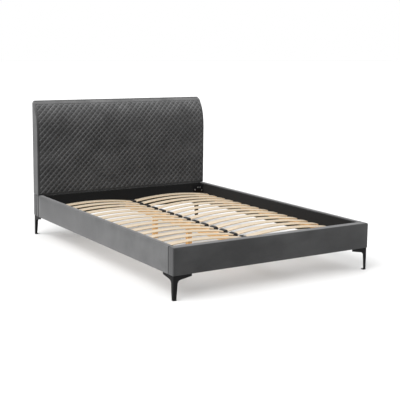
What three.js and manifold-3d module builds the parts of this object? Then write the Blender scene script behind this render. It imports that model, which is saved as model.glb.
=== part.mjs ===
// Upholstered double bed with a curved-back headboard and a two-column sprung slat base.
// Millimetres, +Z up. Origin: centre of the footprint, on the floor. +Y points to the headboard.

import * as THREE from "three";
import { mergeVertices } from "three/addons/utils/BufferGeometryUtils.js";
import Module from "manifold-3d";

const wasm = await Module();
wasm.setup();

// ---- Driving dimensions -------------------------------------------------------------------

const WIDTH = 1460; // over the side rails
const LENGTH = 2080; // foot rail's face to headboard's back
const HEIGHT = 1010; // floor to the top of the headboard
const CLEARANCE = 146; // floor to the underside of the rails
const RAIL_TOP = 308;
const GAP = 0.3; // between pieces that touch

const SIDE_THICK = 38;
const FOOT_THICK = 60;
const HEAD_RAIL_THICK = 44;
const HEADBOARD_THICK = 94;
const BOARD_THICK = 22; // the rails' boards
const COVER_TOP = 11; // padding and velvet on a rail's top and ends
const COVER_INNER = 4; // lining on a rail's inner face
const RAIL_EDGE = 9; // roll of a rail's padded edges

const CURVE_START = 700; // the headboard's front is upright below this height
const CURVE_DEPTH = 84; // how far the front leans back at the top
const CURVE_POWER = 3.5;
const CURVE_STEPS = 14;
const TOP_ROLL = 5;
const TOP_CORNER = 12;
const PAD_MARGIN = 15; // plain velvet border round the quilted panel
const PAD_TOP = 976;
const PAD_TOP_THICK = 9;
const CORE_TOP = 912;
const CORE_THICK = 18;
const CORE_BACK = 8; // padding behind the headboard's board

const SLAT_ROWS = 16;
const SLAT_PITCH = 115.5;
const SLAT_WIDTH = 53;
const SLAT_THICK = 8;
const SLAT_CAMBER = 27;
const SLAT_SEAT = 218; // underside of a slat at its ends
const SLAT_STEPS = 12;
const SLAT_HEAD_MARGIN = 126; // headboard's front to the first row's middle
const SLAT_CENTRE_END = 8.5;

const LEDGER_THICK = 25;
const LEDGER_HEIGHT = 28;
const CENTRE_RAIL_WIDTH = 44;
const CENTRE_RAIL_TOP = 206;
const CENTRE_RAIL_HEIGHT = 46;
const CENTRE_LEG = 34;

const CAP_ACROSS = 36;
const CAP_ALONG = 60;
const CAP_TOP = 234;
const CAP_ROLL = 13;

const LEG_INSET = 3;
const LEG_PLATE = 4;
const LEG_REACH = 121;
const LEG_KNEE = 27; // a blade's width where its column ends
const LEG_KNEE_HEIGHT = 98;
const LEG_CROTCH_HEIGHT = 115.5; // where the column and the arm would meet if not filleted
const LEG_FILLET_END = 50;
const LEG_TIP = 14; // depth of an arm's end
const LEG_FOOT = 23;

const BRACKET_WING = 60;
const BRACKET_THICK = 3;
const BRACKET_BOTTOM = 228;
const BRACKET_TOP = 292;

// ---- Planes the pieces share --------------------------------------------------------------

const FOOT_FACE = -LENGTH / 2;
const FOOT_INNER = FOOT_FACE + FOOT_THICK;
const HEAD_BACK = LENGTH / 2;
const HEAD_FRONT = HEAD_BACK - HEADBOARD_THICK;
const SIDE_FACE = WIDTH / 2;
const SIDE_INNER = SIDE_FACE - SIDE_THICK;
const INNER_LENGTH = HEAD_FRONT - FOOT_INNER;

// ---- Materials ----------------------------------------------------------------------------

const finish = (color, roughness, metalness = 0) =>
  new THREE.MeshStandardMaterial({ color, roughness, metalness });

const velvet = finish(0x4d4f52, 0.9);
const quilted = finish(0x3b3d40, 0.9);
const birch = finish(0xe6cfa8, 0.55);
const pine = finish(0xb9814a, 0.65);
const chipboard = finish(0x9a7b55, 0.85);
const blackPlastic = finish(0x17181a, 0.45);
const blackSteel = finish(0x121315, 0.5, 0.6);
const zincSteel = finish(0x6f7378, 0.4, 0.9);

// ---- Shape helpers ------------------------------------------------------------------------

const shapeOf = (points) =>
  new THREE.Shape(points.map(([a, b]) => new THREE.Vector2(a, b)));

function prism(points, depth, xAxis, yAxis, zAxis) {
  const geometry = new THREE.ExtrudeGeometry(shapeOf(points), {
    depth,
    bevelEnabled: false,
    steps: 1,
  });
  return geometry.applyMatrix4(
    new THREE.Matrix4().makeBasis(xAxis, yAxis, zAxis),
  );
}

const X = new THREE.Vector3(1, 0, 0);
const Y = new THREE.Vector3(0, 1, 0);
const Z = new THREE.Vector3(0, 0, 1);

// Outline in (y, z), swept along x.
const prismX = (points, x0, x1) =>
  prism(points, x1 - x0, Y, Z, X).translate(x0, 0, 0);

// Outline in (x, z), swept along y.
const prismY = (points, y0, y1) =>
  prism(points, y1 - y0, X, Z, Y.clone().negate()).translate(0, y1, 0);

// Outline in (x, y), swept along z.
const prismZ = (points, z0, z1) =>
  prism(points, z1 - z0, X, Y, Z).translate(0, 0, z0);

const rectangle = (a0, b0, a1, b1) => [
  [a0, b0],
  [a1, b0],
  [a1, b1],
  [a0, b1],
];

// Points of a quarter turn about (a, b) from one angle to the next, in degrees.
function arc(a, b, radius, from, to, steps = 5) {
  const points = [];
  for (let i = 0; i <= steps; i++) {
    const t = ((from + ((to - from) * i) / steps) * Math.PI) / 180;
    points.push([a + radius * Math.cos(t), b + radius * Math.sin(t)]);
  }
  return points;
}

// Rectangle with rounded upper corners.
const roundTopped = (a0, b0, a1, b1, r) => [
  [a0, b0],
  [a1, b0],
  ...arc(a1 - r, b1 - r, r, 0, 90),
  ...arc(a0 + r, b1 - r, r, 90, 180),
];

const roundedRectangle = (a0, b0, a1, b1, r) => [
  ...arc(a0 + r, b0 + r, r, 180, 270),
  ...arc(a1 - r, b0 + r, r, 270, 360),
  ...arc(a1 - r, b1 - r, r, 0, 90),
  ...arc(a0 + r, b1 - r, r, 90, 180),
];

const block = (x0, y0, z0, x1, y1, z1) =>
  new THREE.BoxGeometry(x1 - x0, y1 - y0, z1 - z0).translate(
    (x0 + x1) / 2,
    (y0 + y1) / 2,
    (z0 + z1) / 2,
  );

// Hexagon bolt head standing out along +x.
const boltHead = (x, y, z) =>
  new THREE.CylinderGeometry(6.5, 6.5, 5, 6)
    .rotateZ(Math.PI / 2)
    .translate(x + 2, y, z);

function solidOf(geometry) {
  const bare = geometry.clone();
  bare.deleteAttribute("normal");
  bare.deleteAttribute("uv");
  const merged = mergeVertices(bare, 1e-4);
  return new wasm.Manifold(
    new wasm.Mesh({
      numProp: 3,
      vertProperties: new Float32Array(merged.attributes.position.array),
      triVerts: new Uint32Array(merged.index.array),
    }),
  );
}

function geometryOf(solid) {
  const mesh = solid.getMesh();
  const geometry = new THREE.BufferGeometry();
  geometry.setAttribute(
    "position",
    new THREE.BufferAttribute(new Float32Array(mesh.vertProperties), 3),
  );
  geometry.setIndex(new THREE.BufferAttribute(new Uint32Array(mesh.triVerts), 1));
  const flat = geometry.toNonIndexed();
  flat.computeVertexNormals();
  return flat;
}

const join = (...geometries) =>
  geometryOf(geometries.map(solidOf).reduce((a, b) => a.add(b)));

const cut = (body, ...tools) =>
  geometryOf(tools.map(solidOf).reduce((a, b) => a.subtract(b), solidOf(body)));

const common = (a, b) => geometryOf(solidOf(a).intersect(solidOf(b)));

// ---- The scene graph ----------------------------------------------------------------------

const bed = new THREE.Group();
bed.name = "upholstered_double_bed";

function piece(name, geometry, material, parent = bed) {
  const mesh = new THREE.Mesh(geometry, material);
  mesh.name = name;
  parent.add(mesh);
  return mesh;
}

const SIDES = [
  ["left", -1],
  ["right", 1],
];

// ---- Rails --------------------------------------------------------------------------------

// A padded sleeve over a side rail's board: open underneath and at both ends.
function sideCoverGeometry() {
  const roll = roundTopped(0, CLEARANCE, SIDE_THICK, RAIL_TOP, RAIL_EDGE);
  const pocket = rectangle(
    COVER_INNER,
    CLEARANCE - 5,
    COVER_INNER + BOARD_THICK + 2 * GAP,
    RAIL_TOP - COVER_TOP,
  );
  const y0 = FOOT_INNER + GAP;
  const y1 = HEAD_FRONT - GAP;
  return cut(prismY(roll, y0, y1), prismY(pocket, y0 - 5, y1 + 5));
}

function sideBoardGeometry() {
  const outline = rectangle(
    COVER_INNER + GAP,
    CLEARANCE,
    COVER_INNER + GAP + BOARD_THICK,
    RAIL_TOP - COVER_TOP - GAP,
  );
  return prismY(outline, FOOT_INNER + GAP, HEAD_FRONT - GAP);
}

for (const [side, sign] of SIDES) {
  const rail = new THREE.Group();
  rail.position.x = sign * SIDE_INNER;
  if (sign < 0) rail.rotation.z = Math.PI;
  rail.position.y = sign < 0 ? HEAD_FRONT + FOOT_INNER : 0;
  piece(`rail_${side}_cover`, sideCoverGeometry(), velvet, rail);
  piece(`rail_${side}_board`, sideBoardGeometry(), chipboard, rail);
  bed.add(rail);
}

// The foot and head rails run the full width, so their sleeves close over both ends.
function crossPocket(y0, y1, innerAtHighY) {
  const span = BOARD_THICK + 2 * GAP;
  const low = innerAtHighY ? y1 - COVER_INNER - span : y0 + COVER_INNER;
  return [low, low + span];
}

function crossCoverGeometry(y0, y1, innerAtHighY) {
  const [low, high] = crossPocket(y0, y1, innerAtHighY);
  const roll = prismX(
    roundTopped(y0, CLEARANCE, y1, RAIL_TOP, RAIL_EDGE),
    -SIDE_FACE,
    SIDE_FACE,
  );
  const plan = prismZ(
    roundedRectangle(-SIDE_FACE, y0, SIDE_FACE, y1, RAIL_EDGE),
    CLEARANCE - 1,
    RAIL_TOP + 1,
  );
  const pocket = block(
    -SIDE_FACE + COVER_TOP,
    low,
    CLEARANCE - 5,
    SIDE_FACE - COVER_TOP,
    high,
    RAIL_TOP - COVER_TOP,
  );
  return cut(common(roll, plan), pocket);
}

function crossBoardGeometry(y0, y1, innerAtHighY) {
  const [low, high] = crossPocket(y0, y1, innerAtHighY);
  return block(
    -SIDE_FACE + COVER_TOP + GAP,
    low + GAP,
    CLEARANCE,
    SIDE_FACE - COVER_TOP - GAP,
    high - GAP,
    RAIL_TOP - COVER_TOP - GAP,
  );
}

const headRail = [HEAD_FRONT, HEAD_FRONT + HEAD_RAIL_THICK];
piece("rail_foot_cover", crossCoverGeometry(FOOT_FACE, FOOT_INNER, true), velvet);
piece("rail_foot_board", crossBoardGeometry(FOOT_FACE, FOOT_INNER, true), chipboard);
piece("rail_head_cover", crossCoverGeometry(...headRail, false), velvet);
piece("rail_head_board", crossBoardGeometry(...headRail, false), chipboard);

// ---- Headboard ----------------------------------------------------------------------------

// How far the front has leant back at height z.
const lean = (z) =>
  CURVE_DEPTH *
  Math.max(0, (z - CURVE_START) / (HEIGHT - TOP_ROLL - CURVE_START)) ** CURVE_POWER;

// Points up the leaning front to a given height, moved towards the back by an offset.
function frontLine(top, offset = 0) {
  const points = [];
  for (let i = 0; i <= CURVE_STEPS; i++) {
    const z = CURVE_START + ((top - CURVE_START) * i) / CURVE_STEPS;
    points.push([HEAD_FRONT + lean(z) + offset, z]);
  }
  return points;
}

const UPPER_BOTTOM = RAIL_TOP + 2 * GAP;
const LOWER_FRONT = HEAD_FRONT + HEAD_RAIL_THICK + GAP;
const CORE_FACE = HEAD_BACK - CORE_BACK - CORE_THICK;

function headboardOutline() {
  const shoulder = HEIGHT - TOP_ROLL;
  const front = frontLine(shoulder);
  return [
    [LOWER_FRONT, CLEARANCE],
    [HEAD_BACK, CLEARANCE],
    ...arc(HEAD_BACK - TOP_ROLL, shoulder, TOP_ROLL, 0, 180, 8),
    ...front.slice(0, -1).reverse(),
    ...arc(HEAD_FRONT + 6, UPPER_BOTTOM + 6, 6, 180, 270, 3),
    [LOWER_FRONT, UPPER_BOTTOM],
  ];
}

const coreOutline = (grow) =>
  rectangle(
    CORE_FACE - grow,
    CLEARANCE - 4 * grow,
    HEAD_BACK - CORE_BACK + grow,
    CORE_TOP + grow,
  );

// The foam lies flat on the board, and reaches over the board's top to the border.
function padOutline(grow) {
  const foot = UPPER_BOTTOM + PAD_MARGIN - grow;
  const top = PAD_TOP + grow;
  return [
    [HEAD_FRONT - 4 * grow, foot],
    [CORE_FACE - GAP + grow, foot],
    [CORE_FACE - GAP + grow, CORE_TOP],
    [HEAD_FRONT + lean(top) + PAD_TOP_THICK + grow, top],
    ...frontLine(top, -4 * grow).reverse(),
  ];
}

const padHalf = SIDE_FACE - PAD_MARGIN;
const coreHalf = SIDE_FACE - COVER_TOP;
piece("headboard_board", prismX(coreOutline(0), -coreHalf, coreHalf), chipboard);
piece("headboard_quilted_pad", prismX(padOutline(0), -padHalf, padHalf), quilted);
piece(
  "headboard_cover",
  cut(
    common(
      prismX(headboardOutline(), -SIDE_FACE, SIDE_FACE),
      prismY(
        roundTopped(-SIDE_FACE, CLEARANCE - 1, SIDE_FACE, HEIGHT, TOP_CORNER),
        HEAD_FRONT - 1,
        HEAD_BACK + 1,
      ),
    ),
    prismX(coreOutline(GAP), -coreHalf - GAP, coreHalf + GAP),
    prismX(padOutline(GAP), -padHalf - GAP, padHalf + GAP),
  ),
  velvet,
);

// ---- Corner legs --------------------------------------------------------------------------

// One bladed wing of a leg, in (distance from the corner, height).
function wingOutline() {
  const top = CLEARANCE - GAP;
  const arm = (reach) =>
    LEG_CROTCH_HEIGHT +
    ((top - LEG_TIP - LEG_CROTCH_HEIGHT) * (reach - LEG_KNEE)) / (LEG_REACH - LEG_KNEE);
  const fillet = new THREE.QuadraticBezierCurve(
    new THREE.Vector2(LEG_KNEE, LEG_KNEE_HEIGHT),
    new THREE.Vector2(LEG_KNEE + 1, LEG_CROTCH_HEIGHT),
    new THREE.Vector2(LEG_FILLET_END, arm(LEG_FILLET_END)),
  );
  return [
    [0, 0],
    [LEG_FOOT - 4, 0],
    ...fillet.getPoints(6).map((point) => [point.x, point.y]),
    [LEG_REACH, top - LEG_TIP],
    [LEG_REACH, top],
    [0, top],
  ];
}

function legGeometry() {
  const top = CLEARANCE - GAP;
  const wing = wingOutline();
  const plate = [
    [0, 0],
    [LEG_REACH, 0],
    [LEG_REACH, 20],
    [20, LEG_REACH],
    [0, LEG_REACH],
  ];
  return join(
    prismY(wing, 0, LEG_PLATE),
    prismX(wing, 0, LEG_PLATE),
    prismZ(plate, top - 3, top),
    prismZ(roundedRectangle(0, 0, LEG_FOOT, LEG_FOOT, 3), 0, 5),
  );
}

const LEG_CORNERS = [
  ["foot_left", -1, -1, 0],
  ["foot_right", 1, -1, 90],
  ["head_right", 1, 1, 180],
  ["head_left", -1, 1, 270],
];
for (const [corner, sx, sy, turn] of LEG_CORNERS) {
  const leg = piece(`corner_leg_${corner}`, legGeometry(), blackSteel);
  leg.rotation.z = THREE.MathUtils.degToRad(turn);
  leg.position.set(sx * (SIDE_FACE - LEG_INSET), sy * (LENGTH / 2 - LEG_INSET), 0);
}

// ---- Corner brackets ----------------------------------------------------------------------

function bracketGeometry() {
  const wing = BRACKET_WING;
  const t = BRACKET_THICK;
  const angle = [
    [0, 0],
    [wing, 0],
    [wing, t],
    [t, t],
    [t, wing],
    [0, wing],
  ];
  const parts = [prismZ(angle, BRACKET_BOTTOM, BRACKET_TOP)];
  for (const [reach, z] of [
    [15, 264],
    [44, 246],
  ]) {
    parts.push(boltHead(t, reach, z));
    parts.push(
      boltHead(0, 0, 0)
        .rotateZ(Math.PI / 2)
        .translate(reach, t, z),
    );
  }
  return join(...parts);
}

const bracketX = SIDE_INNER - GAP;
const BRACKET_CORNERS = [
  ["foot_left", -bracketX, FOOT_INNER + GAP, 0],
  ["foot_right", bracketX, FOOT_INNER + GAP, 90],
  ["head_right", bracketX, HEAD_FRONT - GAP, 180],
  ["head_left", -bracketX, HEAD_FRONT - GAP, 270],
];
for (const [corner, x, y, turn] of BRACKET_CORNERS) {
  const bracket = piece(`corner_bracket_${corner}`, bracketGeometry(), zincSteel);
  bracket.rotation.z = THREE.MathUtils.degToRad(turn);
  bracket.position.set(x, y, 0);
}

// ---- Slat base ----------------------------------------------------------------------------

const slatRowY = (row) =>
  HEAD_FRONT - SLAT_HEAD_MARGIN - SLAT_PITCH * (SLAT_ROWS - 1 - row);

// Bowed strip in (x, z), from the centre rail out to the side rail, grown by a clearance.
function slatOutline(grow = 0) {
  const x0 = SLAT_CENTRE_END;
  const x1 = SIDE_INNER - 0.6;
  const half = (x1 - x0) / 2;
  const bow = (x) => SLAT_CAMBER * (1 - ((x - x0 - half) / half) ** 2);
  const under = [];
  const over = [];
  for (let i = 0; i <= SLAT_STEPS; i++) {
    const x = x0 + (2 * half * i) / SLAT_STEPS;
    under.push([x, SLAT_SEAT + bow(x) - grow]);
    over.push([x, SLAT_SEAT + SLAT_THICK + bow(x) + grow]);
  }
  if (grow > 0) {
    under[0][0] -= grow;
    over[0][0] -= grow;
  }
  return [...under, ...over.reverse()];
}

const mirrored = (outline) => outline.map(([x, z]) => [-x, z]).reverse();

const slatHalf = SLAT_WIDTH / 2;
for (const [side, sign] of SIDES) {
  const outline = sign > 0 ? slatOutline() : mirrored(slatOutline());
  for (let row = 0; row < SLAT_ROWS; row++) {
    const name = `slat_${side}_${String(row + 1).padStart(2, "0")}`;
    const slat = piece(name, prismY(outline, -slatHalf, slatHalf), birch);
    slat.position.y = slatRowY(row);
  }
}

// Two-sided caps along the middle, one to a row, on a thin web that lies on the centre rail.
function holderStripGeometry() {
  const bottom = CENTRE_RAIL_TOP + GAP;
  const halfWidth = CAP_ALONG / 2;
  const cap = cut(
    prismY(
      roundTopped(-CAP_ACROSS / 2, bottom, CAP_ACROSS / 2, CAP_TOP, CAP_ROLL),
      -halfWidth,
      halfWidth,
    ),
    prismY(slatOutline(GAP), -slatHalf - GAP, slatHalf + GAP),
    prismY(mirrored(slatOutline(GAP)), -slatHalf - GAP, slatHalf + GAP),
  );
  const caps = [];
  for (let row = 0; row < SLAT_ROWS; row++) {
    caps.push(cap.clone().translate(0, slatRowY(row), 0));
  }
  const web = block(
    -12,
    slatRowY(0) - halfWidth,
    bottom,
    12,
    slatRowY(SLAT_ROWS - 1) + halfWidth,
    bottom + 3,
  );
  return join(web, ...caps);
}
piece("centre_slat_holder_strip", holderStripGeometry(), blackPlastic);

for (const [side, sign] of SIDES) {
  const ledger = piece(
    `slat_ledger_${side}`,
    new THREE.BoxGeometry(LEDGER_THICK, INNER_LENGTH - 8, LEDGER_HEIGHT),
    pine,
  );
  ledger.position.set(
    sign * (SIDE_INNER - GAP - LEDGER_THICK / 2),
    (FOOT_INNER + HEAD_FRONT) / 2,
    SLAT_SEAT - GAP - LEDGER_HEIGHT / 2,
  );
}

// ---- Centre rail, its legs and its hangers ------------------------------------------------

const railBottom = CENTRE_RAIL_TOP - CENTRE_RAIL_HEIGHT;
const centreRail = piece(
  "centre_rail",
  new THREE.BoxGeometry(CENTRE_RAIL_WIDTH, INNER_LENGTH - 7, CENTRE_RAIL_HEIGHT),
  pine,
);
centreRail.position.set(
  0,
  (FOOT_INNER + HEAD_FRONT) / 2,
  CENTRE_RAIL_TOP - CENTRE_RAIL_HEIGHT / 2,
);

["foot", "middle", "head"].forEach((place, i) => {
  const height = railBottom - GAP;
  const leg = piece(
    `centre_leg_${place}`,
    new THREE.BoxGeometry(CENTRE_LEG, CENTRE_LEG, height),
    pine,
  );
  leg.position.set(0, FOOT_INNER + (INNER_LENGTH * (i + 1)) / 4, height / 2);
});

// A steel stirrup under the rail's end, its flange flat on the cross rail's inner face.
function hangerGeometry() {
  const half = CENTRE_RAIL_WIDTH / 2 + GAP;
  const wall = half + 2.5;
  const floor = railBottom - GAP;
  const flangeHalf = 48;
  return join(
    block(-flangeHalf, 0, floor - 2.5, flangeHalf, 2.5, floor + 36),
    block(-wall, 0, floor - 2.5, wall, 45, floor),
    block(-wall, 0, floor - 2.5, -half, 45, floor + 32),
    block(half, 0, floor - 2.5, wall, 45, floor + 32),
    boltHead(0, 0, 0).rotateZ(Math.PI / 2).translate(-36, 2.5, floor + 16),
    boltHead(0, 0, 0).rotateZ(Math.PI / 2).translate(36, 2.5, floor + 16),
  );
}
const footHanger = piece("centre_rail_hanger_foot", hangerGeometry(), zincSteel);
footHanger.position.y = FOOT_INNER + GAP;
const headHanger = piece("centre_rail_hanger_head", hangerGeometry(), zincSteel);
headHanger.position.y = HEAD_FRONT - GAP;
headHanger.rotation.z = Math.PI;

export default bed;
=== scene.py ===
"""Looks of an upholstered double bed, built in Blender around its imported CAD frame. Metres, Z up."""

import math

import bpy
import numpy as np
from mathutils import Matrix, Vector


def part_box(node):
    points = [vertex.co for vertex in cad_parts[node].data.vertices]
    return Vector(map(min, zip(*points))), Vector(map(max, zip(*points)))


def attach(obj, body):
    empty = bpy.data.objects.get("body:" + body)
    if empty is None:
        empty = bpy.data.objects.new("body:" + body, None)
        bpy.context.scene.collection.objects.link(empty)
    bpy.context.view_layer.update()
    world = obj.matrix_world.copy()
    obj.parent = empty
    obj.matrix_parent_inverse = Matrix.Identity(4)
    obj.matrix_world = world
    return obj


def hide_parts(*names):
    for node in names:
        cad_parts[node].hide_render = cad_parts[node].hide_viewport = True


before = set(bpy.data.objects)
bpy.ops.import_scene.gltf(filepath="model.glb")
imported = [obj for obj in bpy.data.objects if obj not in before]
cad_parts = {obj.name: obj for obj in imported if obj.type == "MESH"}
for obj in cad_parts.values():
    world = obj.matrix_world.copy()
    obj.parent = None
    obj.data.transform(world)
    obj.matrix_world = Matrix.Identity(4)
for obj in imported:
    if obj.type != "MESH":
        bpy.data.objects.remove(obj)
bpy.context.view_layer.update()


# ---- Sizes that the frame's boxes don't give ------------------------------------------------

GAP = 0.0003
CURVE_START = 0.700  # the headboard's front is upright below this height
CURVE_DEPTH = 0.084  # how far the front leans back at the top
CURVE_POWER = 3.5
TOP_ROLL = 0.005
TOP_CORNER = 0.022
FRONT_EDGE = 0.006  # roll of the headboard's front edges
RAIL_EDGE = 0.008  # roll of the rails' padded edges
SEAM_INSET = 0.0060  # from the foot rail's end to the seam beside its corner roll
SEAM_DEPTH = 0.0020  # how far the corner roll stands proud of the face
RAIL_CROWN = 0.0015  # how far a rail's padding stands proud in the middle
RAIL_HELD = 0.012  # length of a rail's ends that the padding doesn't press out
LINING_DROP = 0.004  # from a rail's top to where the lining starts
BACK_MIDDLE = 0.65  # middle height of the part of the back that the padding presses out
BACK_REACH = 0.33  # and how far that part goes up and down from there

PANEL_DROP = 0.008  # the quilting runs this much lower than its solid in the frame
PANEL_RISE = 0.007  # and this much higher
QUILT_STEPS = 12  # grid steps in one diamond
QUILT_HALF_STEPS = 193  # grid steps in half the panel's width
QUILT_RISE = 0.0090  # from a stitched line to the top of a diamond
QUILT_SINK = 0.0045  # stitched lines below the headboard's front
QUILT_FULLNESS = 0.42  # the lower, the flatter a diamond's top and the steeper its sides
QUILT_HEM = 0.006  # width of the panel's edge over which the diamonds run out
PAINTED_LIGHT_WIDTH = 1.6  # grid steps over which a painted highlight runs beside a rising stitched line
PAINTED_LIGHT_FADE = 0.28  # how much weaker that painted highlight is at the right than at the left, a painted fall-off of the light
PAINTED_LIGHT_FALL_WIDTH = 1.25  # grid steps over which painted light runs beside a falling one
PAINTED_LIGHT_FALL_SHARE = 0.5  # and how strong it is
PAINTED_LIGHT_SIDE = 0.56  # how much painted light the side rails' faces get, as if lit from the side
PAINTED_HIGHLIGHT_TOP = 0.3  # and how much more along their upper edge, a painted highlight
PAINTED_LIGHT_LEAN = 0.55  # how much painted light the front gets where it leans back, as if lit from above

SLAT_THICK = 0.008
SLAT_EDGE = 0.0025

CAP_ROLL = (0.013, 0.004, 0.013)
CAP_MOUTH = (0.2177, 0.2302)  # the heights between which a slat goes in

LEG_SHEET = 0.004
LEG_BEND = 0.005
LEG_FOOT = 0.019
LEG_KNEE = 0.027
LEG_KNEE_HEIGHT = 0.098
LEG_CROTCH_HEIGHT = 0.1155
LEG_FILLET_END = 0.050
LEG_TIP = 0.014
LEG_REACH = 0.121
PLATE_THICK = 0.003
PLATE_CORNER = 0.020  # width of the mounting plate's two narrow ends
GLIDE_SIDE = 0.023
GLIDE_THICK = 0.005

BRACKET_THICK = 0.003
BRACKET_BOLTS = ((0.015, 0.264), (0.044, 0.246))  # (from the corner, height)

CORNERS = (
    ("foot_left", -1, -1, 0), ("foot_right", 1, -1, 90),
    ("head_right", 1, 1, 180), ("head_left", -1, 1, 270),
)

CLOTH_PRESSURE = 4.0
CLOTH_FRAMES = 16
PUFF = 0.003  # the most that padding may press the cloth out

STITCH_PITCH = 0.0052
STITCH_LENGTH = 0.0038
STITCH_RADIUS = 0.00045


def box(node):
    lo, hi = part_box(node)
    return np.array(lo), np.array(hi)


# ---- Mesh helpers ---------------------------------------------------------------------------


def stations(lo, hi, step, edge=0.0, fine=0.002, marks=()):
    """Places from lo to hi about a step apart, finer near both ends and at each mark."""
    inner = np.linspace(lo + edge, hi - edge, max(2, round((hi - lo - 2 * edge) / step) + 1))
    places = [lo, hi, *inner, *marks]
    if edge > 0:
        count = max(2, round(edge / fine))
        places += [lo + edge * i / count for i in range(1, count)]
        places += [hi - edge * i / count for i in range(1, count)]
    kept = []
    for place in sorted(places):
        if not kept or place - kept[-1] > 1e-5:
            kept.append(place)
    return np.array(kept)


def block(xs, ys, zs, sides="xXyYzZ"):
    """Points, quads and side letters of a box's surface, gridded at the given places."""
    grid = (xs, ys, zs)
    index, points, quads, letters = {}, [], [], []

    def at(place):
        key = tuple(place)
        if key not in index:
            index[key] = len(points)
            points.append([grid[axis][key[axis]] for axis in range(3)])
        return index[key]

    for side in sides:
        axis = "xyz".index(side.lower())
        a, b = [other for other in range(3) if other != axis]
        end = len(grid[axis]) - 1 if side.isupper() else 0
        outward = side.isupper() == (axis != 1)
        for p in range(len(grid[a]) - 1):
            for q in range(len(grid[b]) - 1):
                ring = []
                for da, db in ((0, 0), (1, 0), (1, 1), (0, 1)):
                    place = [end, end, end]
                    place[a], place[b] = p + da, q + db
                    ring.append(at(place))
                quads.append(ring if outward else ring[::-1])
                letters.append(side)
    return np.array(points, float), quads, letters


def rounded(points, lo, hi, radius):
    """Points of a box's surface, moved onto the same box with rounded edges."""
    core = np.clip(points, lo + radius, np.maximum(hi - radius, lo + radius))
    away = points - core
    length = np.linalg.norm(away / radius, axis=1, keepdims=True)
    return core + away / np.maximum(length, 1e-9)


def boundary(quads):
    """Directed edges that only one quad has."""
    edges = {(a, b) for ring in quads for a, b in zip(ring, ring[1:] + ring[:1])}
    return [(a, b) for a, b in edges if (b, a) not in edges]


def shell(points, quads, inner):
    """Closes an open surface with an inner one of the same grid and a rim between them."""
    count = len(points)
    lined = [[v + count for v in reversed(ring)] for ring in quads]
    rim = [[b, a, a + count, b + count] for a, b in sorted(boundary(quads))]
    return np.vstack([points, inner]), quads + lined + rim


def recess(points, quads, chosen, offset):
    """Sinks the chosen quads by an offset and puts walls round them."""
    sunk = sorted({v for q in chosen for v in quads[q]})
    fresh = {v: len(points) + n for n, v in enumerate(sunk)}
    region = [quads[q] for q in chosen]
    walls = [[a, b, fresh[b], fresh[a]] for a, b in sorted(boundary(region))]
    for q in chosen:
        quads[q] = [fresh[v] for v in quads[q]]
    return np.vstack([points, points[sunk] + offset]), quads + walls


def merged(*parts):
    """Several (points, faces) as one."""
    points, faces, count = [], [], 0
    for part_points, part_faces in parts:
        points.append(part_points)
        faces += [[v + count for v in ring] for ring in part_faces]
        count += len(part_points)
    return np.vstack(points), faces


def turned(points, angle, place=(0, 0, 0)):
    """Points turned about Z and then moved."""
    c, s = math.cos(angle), math.sin(angle)
    return points @ np.array([[c, s, 0], [-s, c, 0], [0, 0, 1]]) + np.array(place)


def set_painted_light(target, values):
    """Painted light on the velvet at each point, 0 to 1: how far its colour is pulled towards the paler
    one.
    """
    target.data.attributes.new("painted_light", "FLOAT", "POINT").data.foreach_set("value", values)


def piece(name, points, faces, materials, slot, replaces=(), choice=None):
    """A named object of the given mesh, riding on the frame."""
    mesh = bpy.data.meshes.new(name)
    mesh.from_pydata([tuple(p) for p in points], [], faces)
    for material in materials:
        mesh.materials.append(material)
    if choice is not None:
        mesh.polygons.foreach_set("material_index", np.array(choice, np.int32))
    mesh.polygons.foreach_set("use_smooth", [True] * len(mesh.polygons))
    mesh.update()
    made = bpy.data.objects.new(name, mesh)
    bpy.context.scene.collection.objects.link(made)
    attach(made, "root")
    if replaces:
        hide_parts(*replaces)
    return made


def apply_modifier(target, kind, **settings):
    modifier = target.modifiers.new(kind.lower(), kind)
    for key, value in settings.items():
        setattr(modifier, key, value)
    graph = bpy.context.evaluated_depsgraph_get()
    baked = bpy.data.meshes.new_from_object(target.evaluated_get(graph))
    target.modifiers.remove(modifier)
    old, target.data = target.data, baked
    bpy.data.meshes.remove(old)


def bevelled(target, width, segments=2, angle=40):
    apply_modifier(
        target, "BEVEL", width=width, segments=segments,
        limit_method="ANGLE", angle_limit=math.radians(angle),
    )
    target.data.polygons.foreach_set("use_smooth", [True] * len(target.data.polygons))
    target.data.set_sharp_from_angle(angle=math.radians(38))


def puffed(target, free, cap):
    """Padding that presses the cloth out at its free points, found by a cloth simulation."""
    mesh, scene = target.data, bpy.context.scene
    before = np.empty(3 * len(mesh.vertices))
    mesh.vertices.foreach_get("co", before)
    held = target.vertex_groups.new(name="held")
    held.add([int(v) for v in np.flatnonzero(~free)], 1.0, "REPLACE")
    cloth = target.modifiers.new("cloth", "CLOTH")
    cloth.settings.vertex_group_mass = "held"
    cloth.settings.use_pressure = True
    cloth.settings.uniform_pressure_force = CLOTH_PRESSURE
    cloth.settings.effector_weights.gravity = 0
    cloth.point_cache.frame_start = 1
    cloth.point_cache.frame_end = CLOTH_FRAMES
    for number in range(1, CLOTH_FRAMES + 1):
        scene.frame_set(number)
    after = np.empty_like(before)
    evaluated = target.evaluated_get(bpy.context.evaluated_depsgraph_get())
    evaluated.data.vertices.foreach_get("co", after)
    target.modifiers.remove(cloth)
    target.vertex_groups.remove(held)
    scene.frame_set(1)
    moves = (after - before).reshape(-1, 3)
    moves[~free] = 0
    length = np.maximum(np.linalg.norm(moves, axis=1, keepdims=True), 1e-9)
    limited = moves / length * cap * np.tanh(length / cap)
    mesh.vertices.foreach_set("co", before + limited.ravel())
    mesh.update()


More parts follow.
